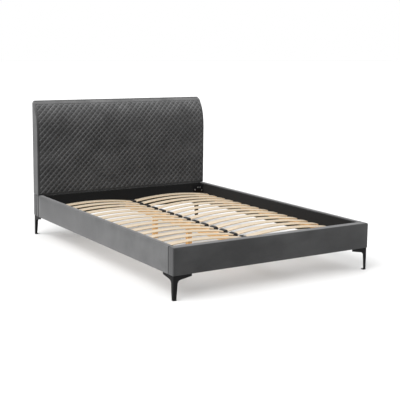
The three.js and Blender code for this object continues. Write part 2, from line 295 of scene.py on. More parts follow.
def stitch_run(start, end, outward, length=STITCH_LENGTH, pitch=STITCH_PITCH):
    """Short spindle-shaped stitches in a straight line, as (points, faces)."""
    start, end, outward = (np.array(v, float) for v in (start, end, outward))
    span = np.linalg.norm(end - start)
    count = max(1, int(span / pitch))
    along = (end - start) / span
    across = np.cross(along, outward)
    middles = start + along * span * ((np.arange(count) + 0.5) / count)[:, None]
    return spindles(middles, along, across, outward, length)


def spindles(middles, along, across, outward, length):
    """One stitch at each middle. The directions are one vector, or one to each stitch."""
    r = STITCH_RADIUS
    corners = [
        -along * length / 2, across * r * 1.3, outward * r, -across * r * 1.3, -outward * r,
        along * length / 2,
    ]
    points = np.stack([middles + corner for corner in corners], axis=1).reshape(-1, 3)
    pattern = [(0, 2, 1), (0, 3, 2), (0, 4, 3), (0, 1, 4), (5, 1, 2), (5, 2, 3), (5, 3, 4), (5, 4, 1)]
    faces = [[6 * n + v for v in ring] for n in range(len(middles)) for ring in pattern]
    return points, faces


# ---- Materials ------------------------------------------------------------------------------


class Nodes:
    """Short calls for building one material."""

    def __init__(self, name):
        self.material = bpy.data.materials.new(name)
        self.material.use_nodes = True
        self.tree = self.material.node_tree
        self.shader = self.tree.nodes["Principled BSDF"]

    def add(self, kind, **values):
        node = self.tree.nodes.new(kind)
        for key, value in values.items():
            if hasattr(node, key):
                setattr(node, key, value)
            else:
                node.inputs[key.replace("_", " ")].default_value = value
        return node

    def link(self, source, target):
        self.tree.links.new(source, target)

    def place(self, scale=(1, 1, 1)):
        """Where a point is, in metres, stretched by a scale."""
        mapping = self.add("ShaderNodeMapping")
        mapping.inputs["Scale"].default_value = scale
        self.link(self.add("ShaderNodeNewGeometry").outputs["Position"], mapping.inputs["Vector"])
        return mapping.outputs["Vector"]

    def noise(self, where, scale, detail=3.0, roughness=0.5):
        node = self.add("ShaderNodeTexNoise", Scale=scale, Detail=detail, Roughness=roughness)
        self.link(where, node.inputs["Vector"])
        return node.outputs["Fac"]

    def ramp(self, value, stops):
        node = self.add("ShaderNodeValToRGB")
        elements = node.color_ramp.elements
        while len(elements) < len(stops):
            elements.new(0.5)
        for element, (at, colour) in zip(elements, stops):
            element.position = at
            element.color = (*colour, 1) if len(colour) == 3 else colour
        self.link(value, node.inputs["Fac"])
        return node.outputs["Color"]

    def mix(self, factor, a, b):
        node = self.add("ShaderNodeMix", data_type="RGBA")
        for socket, value in ((0, factor), (6, a), (7, b)):
            if isinstance(value, (int, float)):
                node.inputs[socket].default_value = value
            elif isinstance(value, tuple):
                node.inputs[socket].default_value = (*value, 1)
            else:
                self.link(value, node.inputs[socket])
        return node.outputs[2]

    def spread(self, value, low, high):
        """A 0 to 1 value, spread over another range."""
        node = self.add("ShaderNodeMapRange", To_Min=low, To_Max=high)
        node.inputs["From Min"].default_value = 0.25
        node.inputs["From Max"].default_value = 0.75
        self.link(value, node.inputs["Value"])
        return node.outputs["Result"]

    def bump(self, *heights):
        """Bump from (height, distance in metres, strength) in turn."""
        normal = None
        for height, distance, strength in heights:
            node = self.add("ShaderNodeBump", Strength=strength, Distance=distance)
            self.link(height, node.inputs["Height"])
            if normal is not None:
                self.link(normal, node.inputs["Normal"])
            normal = node.outputs["Normal"]
        self.link(normal, self.shader.inputs["Normal"])

    def finish(self, colour, roughness, **constants):
        for value, socket in ((colour, "Base Color"), (roughness, "Roughness")):
            if isinstance(value, (int, float)):
                self.shader.inputs[socket].default_value = value
            elif isinstance(value, tuple):
                self.shader.inputs[socket].default_value = (*value, 1)
            else:
                self.link(value, self.shader.inputs[socket])
        for key, value in constants.items():
            self.shader.inputs[key.replace("_", " ")].default_value = value
        return self.material


def velvet_material(name, dark, light, mottle_and_painted_light, sheen):
    """Short pile: soft patches, a fine pile bump and sheen. Random mottling and a per-point painted-light
    attribute pull it towards a paler colour; the attribute paints highlights and lit faces.
    """
    n = Nodes(name)
    patches = n.noise(n.place((1, 1, 1.6)), 5.5, detail=4, roughness=0.6)
    brushed = n.noise(n.place((9, 9, 60)), 3.0, detail=2)
    pile = n.noise(n.place(), 1400, detail=2)
    base = n.ramp(patches, [(0.38, dark), (0.62, light)])
    base = n.mix(n.spread(brushed, 0.0, 0.35), base, light)
    base = n.mix(n.spread(pile, 0.0, 0.30), base, dark)
    # painted light: the per-point attribute, varied by this noise, pulls the colour towards the paler one
    uneven = n.noise(n.place((1, 1, 0.8)), 9.0, detail=3)
    painted_light = n.add("ShaderNodeMath", operation="MULTIPLY")
    n.link(n.add("ShaderNodeAttribute", attribute_name="painted_light").outputs["Fac"], painted_light.inputs[0])
    n.link(n.spread(uneven, 0.35, 1.0), painted_light.inputs[1])
    stroked = n.noise(n.place((1, 1, 1.8)), 3.2, detail=3)
    base = n.mix(n.spread(stroked, -0.09, 0.13), base, mottle_and_painted_light)
    base = n.mix(painted_light.outputs["Value"], base, mottle_and_painted_light)
    n.bump((patches, 0.004, 0.10), (brushed, 0.0008, 0.20), (pile, 0.0005, 0.45))
    return n.finish(
        base, n.spread(pile, 0.78, 0.95), Sheen_Weight=sheen, Sheen_Roughness=0.50,
        Sheen_Tint=(0.83, 0.83, 0.84, 1), Specular_IOR_Level=0.20,
    )


def lining_material():
    """Black non-woven lining with a fine embossed grid of dots."""
    n = Nodes("black_lining")
    fibres = n.noise(n.place(), 700, detail=4)
    dots = n.add("ShaderNodeTexVoronoi", Scale=420.0, Randomness=0.15)
    n.link(n.place(), dots.inputs["Vector"])
    colour = n.ramp(fibres, [(0.3, (0.0018, 0.0018, 0.0019)), (0.7, (0.0045, 0.0045, 0.0046))])
    n.bump((fibres, 0.0003, 0.5), (dots.outputs["Distance"], 0.0004, 0.35))
    return n.finish(colour, 0.85, Sheen_Weight=0.06, Specular_IOR_Level=0.15)


def thread_material(name, colour):
    n = Nodes(name)
    twist = n.noise(n.place((600, 600, 2200)), 1.0)
    shade = n.mix(n.spread(twist, 0.0, 0.6), colour, tuple(0.5 * c for c in colour))
    n.bump((twist, 0.0002, 0.5))
    return n.finish(shade, 0.55, Sheen_Weight=0.2)


def birch_material():
    """Pale laminated birch: long grain, warm cut edges with the glued plies showing."""
    n = Nodes("laminated_birch")
    tone = n.noise(n.place((0.6, 9, 1)), 1.0, detail=1)
    grain = n.noise(n.place((5, 160, 160)), 1.0, detail=5, roughness=0.65)
    pores = n.noise(n.place((40, 900, 900)), 1.0, detail=2)
    face = n.ramp(grain, [(0.32, (0.290, 0.225, 0.155)), (0.60, (0.370, 0.308, 0.232))])
    face = n.mix(n.spread(tone, 0.0, 0.45), face, (0.405, 0.355, 0.280))
    ply = n.add("ShaderNodeAttribute", attribute_name="ply")
    cut = n.ramp(
        ply.outputs["Fac"],
        [(0.00, (0.44, 0.34, 0.22)), (0.24, (0.55, 0.44, 0.30)), (0.27, (0.33, 0.22, 0.12)),
         (0.30, (0.47, 0.36, 0.23)), (0.60, (0.56, 0.45, 0.31)), (0.63, (0.33, 0.22, 0.12)),
         (0.66, (0.50, 0.39, 0.26)), (0.92, (0.58, 0.48, 0.35))],
    )
    edge = n.add("ShaderNodeAttribute", attribute_name="edge")
    colour = n.mix(edge.outputs["Fac"], face, cut)
    n.bump((grain, 0.0006, 0.18), (pores, 0.0003, 0.22))
    return n.finish(colour, n.spread(grain, 0.38, 0.52), Specular_IOR_Level=0.45)


def pine_material(name, along):
    """Orange-brown softwood with rings and streaks along one axis."""
    n = Nodes(name)
    stretch = [70, 70, 70]
    stretch["xyz".index(along)] = 2.2
    rings = n.noise(n.place(tuple(stretch)), 1.0, detail=4, roughness=0.6)
    stretch["xyz".index(along)] = 25
    fibre = n.noise(n.place(tuple(8 * s for s in stretch)), 1.0, detail=2)
    colour = n.ramp(
        rings, [(0.30, (0.480, 0.230, 0.065)), (0.50, (0.700, 0.370, 0.120)), (0.68, (0.780, 0.450, 0.170))]
    )
    colour = n.mix(n.spread(fibre, 0.0, 0.25), colour, (0.42, 0.20, 0.06))
    n.bump((rings, 0.0008, 0.2), (fibre, 0.0003, 0.3))
    return n.finish(colour, n.spread(fibre, 0.50, 0.66))


def plastic_material():
    n = Nodes("moulded_black_plastic")
    grain = n.noise(n.place(), 1500, detail=2)
    scuffs = n.noise(n.place((60, 240, 60)), 1.0, detail=4)
    colour = n.mix(n.spread(scuffs, 0.0, 0.5), (0.006, 0.006, 0.0065), (0.015, 0.015, 0.016))
    n.bump((grain, 0.0002, 0.3))
    return n.finish(colour, n.spread(scuffs, 0.34, 0.50), Specular_IOR_Level=0.35)


def black_steel_material():
    """Powder coat: orange-peel texture, slightly glossier where hands and floors rub it."""
    n = Nodes("powder_coated_steel")
    peel = n.noise(n.place(), 900, detail=2)
    rub = n.noise(n.place(), 14, detail=4)
    colour = n.mix(n.spread(rub, 0.0, 0.5), (0.0025, 0.0025, 0.0027), (0.005, 0.005, 0.0053))
    n.bump((peel, 0.0002, 0.35))
    return n.finish(colour, n.spread(rub, 0.42, 0.58), Specular_IOR_Level=0.12)


def zinc_material():
    n = Nodes("zinc_plated_steel")
    clouds = n.noise(n.place(), 60, detail=4, roughness=0.7)
    rolled = n.noise(n.place((900, 900, 40)), 1.0, detail=2)
    colour = n.ramp(clouds, [(0.3, (0.20, 0.21, 0.22)), (0.7, (0.34, 0.34, 0.33))])
    n.bump((rolled, 0.0001, 0.25))
    return n.finish(colour, n.spread(clouds, 0.28, 0.46), Metallic=1.0)


def board_material():
    """Chipboard: chips of several browns, as the board's raw edges show."""
    n = Nodes("chipboard")
    chips = n.add("ShaderNodeTexVoronoi", Scale=330.0)
    n.link(n.place((1, 1, 2.2)), chips.inputs["Vector"])
    split = n.add("ShaderNodeSeparateColor")
    n.link(chips.outputs["Color"], split.inputs["Color"])
    colour = n.ramp(
        split.outputs["Red"],
        [(0.0, (0.20, 0.12, 0.06)), (0.5, (0.38, 0.26, 0.15)), (1.0, (0.52, 0.39, 0.25))],
    )
    n.bump((chips.outputs["Distance"], 0.0006, 0.4))
    return n.finish(colour, 0.85)


# The third colour of each velvet is the paler colour that random mottling and painted light pull towards.
# The quilted copy is a little paler and has less sheen.
VELVET = velvet_material(
    "grey_velvet", (0.0090, 0.0091, 0.0093), (0.0185, 0.0187, 0.0190), (0.102, 0.1023, 0.103), 0.40
)
QUILTED = velvet_material(
    "quilted_grey_velvet", (0.0110, 0.0111, 0.0113), (0.0205, 0.0207, 0.0210), (0.135, 0.1354, 0.137), 0.22
)
LINING = lining_material()
THREAD = thread_material("grey_thread", (0.075, 0.077, 0.080))
BIRCH = birch_material()
PINE_LONG = pine_material("pine_along", "y")
PINE_TALL = pine_material("pine_upright", "z")
PLASTIC = plastic_material()
STEEL = black_steel_material()
ZINC = zinc_material()
CHIPBOARD = board_material()

# ---- Rails ----------------------------------------------------------------------------------


def rail_sleeve(where, inner_side, open_ends=""):
    """A padded sleeve over a rail's board: velvet outside and on top, lining on the inside.

    A side rail is open at both ends. Its foot end is square, and its head end has rolled edges.
    """
    lo, hi = box(f"rail_{where}_cover")
    board_lo, board_hi = box(f"rail_{where}_board")
    pocket_lo, pocket_hi = board_lo - GAP, board_hi + GAP
    pocket_lo[2] = lo[2]
    long_axis = 1 if open_ends else 0
    steps = [0.009, 0.009, 0.012]
    steps[long_axis] = 0.016
    grid = [stations(lo[a], hi[a], steps[a], edge=RAIL_EDGE) for a in range(3)]
    if where == "foot":
        seams = [side * (hi[0] - SEAM_INSET + d) for side in (-1, 1) for d in (-0.0012, 0.0002)]
        grid[0] = stations(lo[0], hi[0], steps[0], edge=RAIL_EDGE, marks=seams)
    sides = "".join(s for s in "xXyYZ" if s not in open_ends)
    flat, quads, letters = block(*grid, sides)

    soft_lo = lo.copy()
    soft_lo[2] -= 1.0
    if open_ends:
        soft_lo[long_axis] -= 1.0
    outer = rounded(flat, soft_lo, hi, RAIL_EDGE)

    share = (flat - lo) / (hi - lo)
    inner = pocket_lo + share * (pocket_hi - pocket_lo)
    if open_ends:
        inner[:, long_axis] = flat[:, long_axis]

    face_axis = "xyz".index(inner_side.lower())
    outward = -1 if inner_side.isupper() else 1
    outside = share[:, face_axis] > 0.999 if outward > 0 else share[:, face_axis] < 0.001
    rise = 1 - np.abs(2 * share[:, 2] - 1) ** 3
    run = 1 - np.abs(2 * share[:, long_axis] - 1) ** 40
    if where != "head":
        outer[outside, face_axis] += outward * RAIL_CROWN * (rise * run)[outside]

    if where == "foot":
        rolled = outside & (np.abs(flat[:, 0]) > hi[0] - SEAM_INSET)
        outer[rolled, face_axis] += outward * SEAM_DEPTH

    points, faces = shell(outer, quads, inner)
    lined_from = hi[2] - LINING_DROP
    choice = [
        int(letter == inner_side and points[ring][:, 2].mean() < lined_from)
        for ring, letter in zip(quads, letters)
    ]
    choice += [1] * (len(faces) - len(quads))
    made = piece(
        f"rail_{where}_sleeve", points, faces, [VELVET, LINING], "velvet",
        [f"rail_{where}_cover"], choice,
    )
    if open_ends:
        # painted light: the side rails' outer faces are painted paler, less so towards the head end, with a
        # painted highlight along their upper edge
        painted_light = PAINTED_LIGHT_SIDE * (1 - share[:, 1] ** 2) + PAINTED_HIGHLIGHT_TOP * (share[:, 2] > 0.97)
        painted_light = np.where(outside, painted_light, 0.0)
        set_painted_light(made, np.concatenate([painted_light, np.zeros_like(painted_light)]))
    if where != "head":
        ends = RAIL_HELD / (hi - lo)[long_axis]
        free = outside & (share[:, 2] > 0.02) & (np.abs(share[:, long_axis] - 0.5) < 0.5 - ends)
        puffed(made, np.concatenate([free, np.zeros_like(free)]), PUFF)

    normal = np.zeros(3)
    normal[face_axis] = -outward
    start, end = lo.copy(), hi.copy()
    start[face_axis] = end[face_axis] = (lo if outward > 0 else hi)[face_axis] - outward * 0.0002
    start[2] = end[2] = lined_from - 0.002
    inset = np.zeros(3)
    inset[long_axis] = 0.004 if open_ends else 0.045
    run_points, run_faces = stitch_run(start + inset, end - inset, normal)
    piece(f"rail_{where}_stitches", run_points, run_faces, [THREAD], "velvet")


rail_sleeve("left", "X", "yY")
rail_sleeve("right", "x", "yY")
rail_sleeve("foot", "Y")
rail_sleeve("head", "y")

# ---- Headboard ------------------------------------------------------------------------------

cover_lo, cover_hi = box("headboard_cover")
pad_lo, pad_hi = box("headboard_quilted_pad")
pad_lo[2] -= PANEL_DROP
pad_hi[2] += PANEL_RISE
head_rail_lo, head_rail_hi = box("rail_head_cover")
HEAD_FRONT = head_rail_lo[1]
HEAD_BACK = cover_hi[1]
SHOULDER = cover_hi[2] - TOP_ROLL
SEAM_HEIGHT = head_rail_hi[2] + 2 * GAP


def front(z):
    """The headboard's front at a height."""
    rise = np.clip((np.asarray(z, float) - CURVE_START) / (SHOULDER - CURVE_START), 0, 1)
    return HEAD_FRONT + CURVE_DEPTH * rise**CURVE_POWER


def front_slope(z):
    return (front(z + 5e-4) - front(z - 5e-4)) / 1e-3


def past_corner(points):
    """How far points lie past the centre of an upper corner's rounding, seen from the front."""
    near = np.column_stack([np.abs(points[:, 0]), points[:, 2]]) - (cover_hi[[0, 2]] - TOP_CORNER)
    return np.clip(near, 0, None)


def drawn_in(points, like, share):
    """Points, but at the upper corners a share of the way from the rounding's centre to like."""
    near = past_corner(like)
    corner = cover_hi[[0, 2]] - TOP_CORNER + near * share[:, None]
    inside = near.min(1) > 0
    moved = points.copy()
    moved[inside, 0] = (np.sign(like[:, 0]) * corner[:, 0])[inside]
    moved[inside, 2] = corner[inside, 1]
    return moved


def headboard_body():
    """The upper cover: a rolled border round a sunk window, which the quilted panel fills."""
    window_x = pad_hi[0] + GAP
    window = (pad_lo[2] - GAP, pad_hi[2] + GAP)
    xs = stations(
        cover_lo[0], cover_hi[0], 0.030, edge=FRONT_EDGE,
        marks=[s * (window_x + d) for s in (-1, 1) for d in (0, 0.0015, 0.004, -0.004, -0.007)],
    )
    zs = stations(
        SEAM_HEIGHT, cover_hi[2], 0.018, edge=0.006,
        marks=[w + d for w in window for d in (-0.004, -0.0015, 0, 0.0015, 0.004, 0.008, 0.013)],
    )
    shares = stations(0, 1, 0.12, edge=0.11, fine=0.028)
    flat, quads, letters = block(xs, shares, zs)
    near = past_corner(flat)
    flat = drawn_in(flat, flat, near.max(1) / np.maximum(np.hypot(*near.T), 1e-9))
    thick = HEAD_BACK - front(flat[:, 2])
    upright = np.column_stack([flat[:, 0], flat[:, 1] * thick, flat[:, 2]])
    radius = np.minimum(FRONT_EDGE, thick / 2)[:, None]
    lo = np.column_stack([np.full_like(thick, cover_lo[0]), 0 * thick, 0 * thick + SEAM_HEIGHT])
    hi = np.column_stack([np.full_like(thick, cover_hi[0]), thick, 0 * thick + cover_hi[2]])
    out = np.maximum(np.hypot(*past_corner(upright).T), 1e-9)
    core = np.clip(upright, lo + radius, hi - radius)
    core = drawn_in(core, upright, np.minimum(1, (TOP_CORNER - radius[:, 0]) / out))
    away = upright - core
    length = np.linalg.norm(away, axis=1, keepdims=True)
    points = core + away * radius / np.maximum(length, 1e-9)
    points[:, 1] += front(flat[:, 2])

    chosen = []
    for number, (ring, side) in enumerate(zip(quads, letters)):
        middle = flat[ring].mean(0)
        if side == "y" and abs(middle[0]) < window_x and window[0] < middle[2] < window[1]:
            chosen.append(number)
    points, faces = recess(points, quads, chosen, np.array([0, 0.010, 0]))
    return points, faces


def headboard_skirt():
    """The lower cover, behind the head rail, which meets the upper one in a seam."""
    lo = np.array([cover_lo[0], head_rail_hi[1] + GAP, cover_lo[2]])
    hi = np.array([cover_hi[0], HEAD_BACK, SEAM_HEIGHT - GAP])
    grid = [stations(lo[a], hi[a], s, edge=0.006) for a, s in enumerate((0.040, 0.012, 0.016))]
    flat, quads, _ = block(*grid)
    return rounded(flat, lo, hi, 0.006), quads


def lean(z):
    """How far the front leans back at a height, from 0 to 1 at the shoulder."""
    return front_slope(z) / front_slope(SHOULDER - 1e-3)


body_points, body_faces = headboard_body()
body = piece("headboard_border", body_points, body_faces, [VELVET], "velvet", ["headboard_cover"])
near_front = body_points[:, 1] < front(body_points[:, 2]) + FRONT_EDGE
on_back = body_points[:, 1] > HEAD_BACK - 1e-5
on_back &= np.abs(body_points[:, 2] - BACK_MIDDLE) < BACK_REACH
puffed(body, on_back & (np.abs(body_points[:, 0]) < cover_hi[0] - 0.008), PUFF)
on_front = near_front & (np.abs(body_points[:, 0]) < cover_hi[0] - 1e-4)
# painted light: the front is painted paler where it leans back, as if lit from above
set_painted_light(body, np.where(on_front, lean(body_points[:, 2]), 0))
skirt = piece("headboard_skirt", *headboard_skirt(), [VELVET], "velvet", ["headboard_cover"])


def quilt_number(i, j):
    """The number of the quilting's grid point in column i and row j."""
    return j * (2 * QUILT_HALF_STEPS + 1) + i


def quilt_front_faces(rows):
    """Quads of the quilting's grid, split along the stitched lines."""
    faces = []
    for j in range(rows):
        for i in range(2 * QUILT_HALF_STEPS):
            ring = [quilt_number(a, b) for a, b in ((i, j), (i + 1, j), (i + 1, j + 1), (i, j + 1))]
            if (i - j) % QUILT_STEPS == 0:
                faces += [[ring[0], ring[1], ring[2]], [ring[0], ring[2], ring[3]]]
            elif (i + j + 1) % QUILT_STEPS == 0:
                faces += [[ring[0], ring[1], ring[3]], [ring[1], ring[2], ring[3]]]
            else:
                faces.append(ring)
    return faces


def quilt_rim_and_back(rows, first):
    """The grid's outline, and faces round it and behind it, on points numbered from first."""
    columns = 2 * QUILT_HALF_STEPS
    loop = [quilt_number(i, 0) for i in range(columns)]
    loop += [quilt_number(columns, j) for j in range(rows)]
    loop += [quilt_number(i, rows) for i in range(columns, 0, -1)]
    loop += [quilt_number(0, j) for j in range(rows, 0, -1)]
    spot = {v: first + n for n, v in enumerate(loop)}
    faces = [[b, a, spot[a], spot[b]] for a, b in zip(loop, loop[1:] + loop[:1])]
    for j in range(rows):
        low = range(columns + 1) if j == 0 else (0, columns)
        high = range(columns, -1, -1) if j == rows - 1 else (columns, 0)
        strip = [spot[quilt_number(i, j)] for i in low]
        strip += [spot[quilt_number(i, j + 1)] for i in high]
        faces.append(strip[::-1])
    return loop, faces


def quilted_panel():
    """Diamonds standing on their points, with stitched valleys that follow the curved front."""
    columns = 2 * QUILT_HALF_STEPS
    step = pad_hi[0] / QUILT_HALF_STEPS
    heights = np.linspace(pad_lo[2], pad_hi[2], 400)
    leans = np.hypot(1, front_slope(heights))
    arc = np.concatenate([[0], np.cumsum((leans[1:] + leans[:-1]) / 2 * np.diff(heights))])
    rows = round(arc[-1] / step)
    z = np.interp(np.linspace(0, arc[-1], rows + 1), arc, heights)
    i, j = np.meshgrid(np.arange(columns + 1), np.arange(rows + 1))
    x = pad_hi[0] * (i / QUILT_HALF_STEPS - 1)

    rise = np.abs(np.sin(np.pi * (i + j) / QUILT_STEPS) * np.sin(np.pi * (i - j) / QUILT_STEPS))
    to_edge = np.minimum(np.minimum(i, columns - i), np.minimum(j, rows - j)) * step
    hem = np.clip(to_edge / QUILT_HEM, 0, 1)
    height = QUILT_RISE * rise**QUILT_FULLNESS * hem - QUILT_SINK * hem**0.5 - 0.001 * (1 - hem)

    slope = front_slope(z)[j]
    tilt = np.hypot(1, slope)
    outward = np.stack([0 * x, -1 / tilt, slope / tilt], axis=-1)
    base = np.stack([x, front(z)[j], z[j]], axis=-1)
    top = (base + outward * height[..., None]).reshape(-1, 3)
    loop, closing = quilt_rim_and_back(rows, len(top))
    behind = top[loop] + np.array([0, 0.008, 0])

    # painted highlights beside the rising stitched lines, weaker towards the right, fainter ones beside the
    # falling lines, and painted light where the front leans back
    past_rising = (i - j) % QUILT_STEPS
    past_falling = (i + j) % QUILT_STEPS
    painted_light = (1 - PAINTED_LIGHT_FADE * i / columns) * np.exp(-((past_rising / PAINTED_LIGHT_WIDTH) ** 2))
    painted_light += PAINTED_LIGHT_FALL_SHARE * np.exp(-((past_falling / PAINTED_LIGHT_FALL_WIDTH) ** 2))
    painted_light = painted_light * hem + PAINTED_LIGHT_LEAN * lean(z)[j]
    painted_light = np.concatenate([painted_light.ravel(), np.zeros(len(behind))])
    return np.vstack([top, behind]), quilt_front_faces(rows) + closing, np.clip(painted_light, 0, 1)


quilt_points, quilt_faces, quilt_painted_light = quilted_panel()
quilt = piece(
    "headboard_quilt", quilt_points, quilt_faces, [QUILTED], "quilted_velvet", ["headboard_quilted_pad"]
)
set_painted_light(quilt, quilt_painted_light)

# ---- Slats and their caps -------------------------------------------------------------------


def slat(name):
    """A bowed strip of laminated birch with eased edges."""
    lo, hi = box(name)
    middle = (lo[0] + hi[0]) / 2
    half = (hi[0] - lo[0]) / 2
    camber = hi[2] - lo[2] - SLAT_THICK
    flat_hi = np.array([hi[0], hi[1], lo[2] + SLAT_THICK])
    grid = [
        stations(lo[0], hi[0], 0.026, edge=SLAT_EDGE, fine=0.0009),
        stations(lo[1], hi[1], 0.012, edge=SLAT_EDGE, fine=0.0009),
        stations(lo[2], flat_hi[2], 0.0015, edge=SLAT_EDGE, fine=0.0009),
    ]
    flat, quads, letters = block(*grid)
    points = rounded(flat, lo, flat_hi, SLAT_EDGE)
    ply = (points[:, 2] - lo[2]) / SLAT_THICK
    points[:, 2] += camber * (1 - ((points[:, 0] - middle) / half) ** 2)
    made = piece(name + "_birch", points, quads, [BIRCH], "birch", [name])
    made.data.attributes.new("ply", "FLOAT", "POINT").data.foreach_set("value", ply)
    edge = np.repeat([float(side in "xXyY") for side in letters], 4)
    made.data.attributes.new("edge", "FLOAT", "CORNER").data.foreach_set("value", edge)


for node in sorted(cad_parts):
    if node.startswith("slat_left_") or node.startswith("slat_right_"):
        slat(node)


def slat_cap():
    """A two-sided moulded cap, centred on its row, with a pocket for a slat in each side."""
    lo, hi = box("centre_slat_holder_strip")
    slat_lo, slat_hi = box("slat_right_01")
    half = np.array([hi[0], 0.030, 0])
    low, high = np.append(-half[:2], lo[2]), np.append(half[:2], hi[2])
    pocket_y = (slat_hi[1] - slat_lo[1]) / 2 + GAP
    grid = [
        stations(low[0], high[0], 0.003, edge=CAP_ROLL[0], fine=0.0016),
        stations(low[1], high[1], 0.006, edge=CAP_ROLL[1], fine=0.001, marks=[-pocket_y, pocket_y]),
        stations(low[2], high[2], 0.004, edge=CAP_ROLL[2], fine=0.0016, marks=CAP_MOUTH),
    ]
    flat, quads, letters = block(*grid)
    points = rounded(flat, low - np.array([0, 0, 1]), high, np.array(CAP_ROLL))
    middles = [flat[ring].mean(0) for ring in quads]
    for side, sign in (("x", -1), ("X", 1)):
        chosen = [
            number
            for number, (middle, letter) in enumerate(zip(middles, letters))
            if letter == side and abs(middle[1]) < pocket_y and CAP_MOUTH[0] < middle[2] < CAP_MOUTH[1]
        ]
        points, quads = recess(points, quads, chosen, np.array([-sign * 0.0085, 0, -0.0012]))
    return points, quads


cap_points, cap_faces = slat_cap()
for row in range(1, 17):
    slat_lo, slat_hi = box(f"slat_left_{row:02d}")
    place = np.array([0, (slat_lo[1] + slat_hi[1]) / 2, 0])
    piece(
        f"slat_cap_{row:02d}", cap_points + place, cap_faces, [PLASTIC], "black_plastic",
        ["centre_slat_holder_strip"],
    )

# ---- Ledgers, centre rail and its legs ------------------------------------------------------


def timber(node, material, along):
    """A planed length of timber with eased arrises."""
    lo, hi = box(node)
    steps = [0.012, 0.012, 0.012]
    steps["xyz".index(along)] = 0.060
    grid = [stations(lo[a], hi[a], steps[a], edge=0.002, fine=0.001) for a in range(3)]
    flat, quads, _ = block(*grid)
    piece(node + "_timber", rounded(flat, lo, hi, 0.002), quads, [material], "pine", [node])


for side in ("left", "right"):
    timber(f"slat_ledger_{side}", PINE_LONG, "y")
timber("centre_rail", PINE_LONG, "y")
for place in ("foot", "middle", "head"):
    timber(f"centre_leg_{place}", PINE_TALL, "z")

# ---- Corner legs ----------------------------------------------------------------------------


def blade_outline(top):
    """(reach, height) up a blade's free edge: column, fillet, the arm's underside and its tip."""
    foot = [(LEG_FOOT, 0.001)]
    foot += [(LEG_FOOT + 0.002 * n, 0.025 * n) for n in (1, 2, 3)]
    start = np.array([LEG_KNEE, LEG_KNEE_HEIGHT])
    bend = np.array([LEG_KNEE + 0.001, LEG_CROTCH_HEIGHT])
    tip = np.array([LEG_REACH, top - LEG_TIP])
    end = bend + (tip - bend) * (LEG_FILLET_END - bend[0]) / (tip[0] - bend[0])
    fillet = [(1 - t) ** 2 * start + 2 * t * (1 - t) * bend + t * t * end for t in np.linspace(0, 1, 11)]
    arm = [end + (tip - end) * t for t in (0.35, 0.7, 1.0)]
    return [*foot, *map(tuple, fillet), *map(tuple, arm), (LEG_REACH, top - LEG_TIP / 2), (LEG_REACH, top)]


def bent(s, depth):
    """A place on the folded sheet: s along it from the fold, depth in from its outer face."""
    half_arc = LEG_BEND * math.pi / 4
    if abs(s) <= half_arc:
        angle = math.radians(225) + s / LEG_BEND
        r = LEG_BEND - depth
        return LEG_BEND + r * math.cos(angle), LEG_BEND + r * math.sin(angle)
    beyond = LEG_BEND + abs(s) - half_arc
    return (beyond, depth) if s > 0 else (depth, beyond)


def leg_mesh(top):
    """Two blades folded from one steel sheet."""
    outline = blade_outline(top)
    shares = np.array([-1, -0.85, -0.7, -0.55, -0.4, -0.25, -0.17, -0.12, -0.06, 0])
    shares = np.concatenate([shares, -shares[-2::-1]])
    flat, quads, _ = block(shares, np.array([0.0, LEG_SHEET]), np.arange(len(outline)))
    points = []
    for share, depth, row in flat:
        reach, height = outline[int(row)]
        x, y = bent(share * reach, depth)
        points.append((x, y, height))
    return np.array(points), [ring[::-1] for ring in quads]


def plate_mesh(outline, z0, z1):
    """A flat plate with an outline given counter-clockwise."""
    count = len(outline)
    points = np.array([(x, y, z) for z in (z0, z1) for x, y in outline])
    faces = [list(range(count))[::-1], [count + n for n in range(count)]]
    for n in range(count):
        m = (n + 1) % count
        faces.append([n, m, count + m, count + n])
    return points, faces


def corner_legs():
    for corner, sx, sy, turn in CORNERS:
        node = f"corner_leg_{corner}"
        lo, hi = box(node)
        top = hi[2]
        inner = LEG_SHEET + 0.0002
        reach = LEG_REACH - 0.002
        plate = plate_mesh(
            [(inner, inner), (reach, inner), (reach, PLATE_CORNER), (PLATE_CORNER, reach), (inner, reach)],
            top - PLATE_THICK, top,
        )
        glide = plate_mesh(
            [(0.0, 0.0), (GLIDE_SIDE, 0.0), (GLIDE_SIDE, GLIDE_SIDE), (0.0, GLIDE_SIDE)], 0.0, GLIDE_THICK
        )
        place = (lo[0] if sx < 0 else hi[0], lo[1] if sy < 0 else hi[1], 0)
        angle = math.radians(turn)
        points, faces = leg_mesh(top)
        blades = piece(
            f"{node}_blades", turned(points, angle, place), faces, [STEEL], "black_steel", [node]
        )
        bevelled(blades, 0.0009)
        points, faces = merged(plate, glide)
        ends = piece(
            f"{node}_plate_and_glide", turned(points, angle, place), faces, [STEEL], "black_steel", [node]
        )
        bevelled(ends, 0.0015)


corner_legs()

# ---- Corner brackets and hangers --------------------------------------------------------------


def bolt_mesh(sides=24):
    """A washer and a domed bolt head with a hex socket, standing on z = 0 and facing up."""
    profile = [(0.0078, 0.0), (0.0078, 0.0009), (0.0052, 0.0010), (0.0052, 0.0028), (0.0046, 0.0036)]
    profile += [(0.0032, 0.0040), (0.0025, 0.0040), (0.0024, 0.0018)]
    points = []
    for n in range(sides):
        angle = 2 * math.pi * n / sides
        hexagon = math.cos(math.pi / 6) / math.cos(angle % (math.pi / 3) - math.pi / 6)
        for r, z in profile:
            reach = r * hexagon if r < 0.003 else r
            points.append((reach * math.cos(angle), reach * math.sin(angle), z))
    steps = len(profile)
    faces = [[n * steps for n in range(sides)][::-1], [n * steps + steps - 1 for n in range(sides)]]
    for n in range(sides):
        m = (n + 1) % sides
        near, far = n * steps, m * steps
        faces += [[near + k, far + k, far + k + 1, near + k + 1] for k in range(steps - 1)]
    return np.array(points), faces


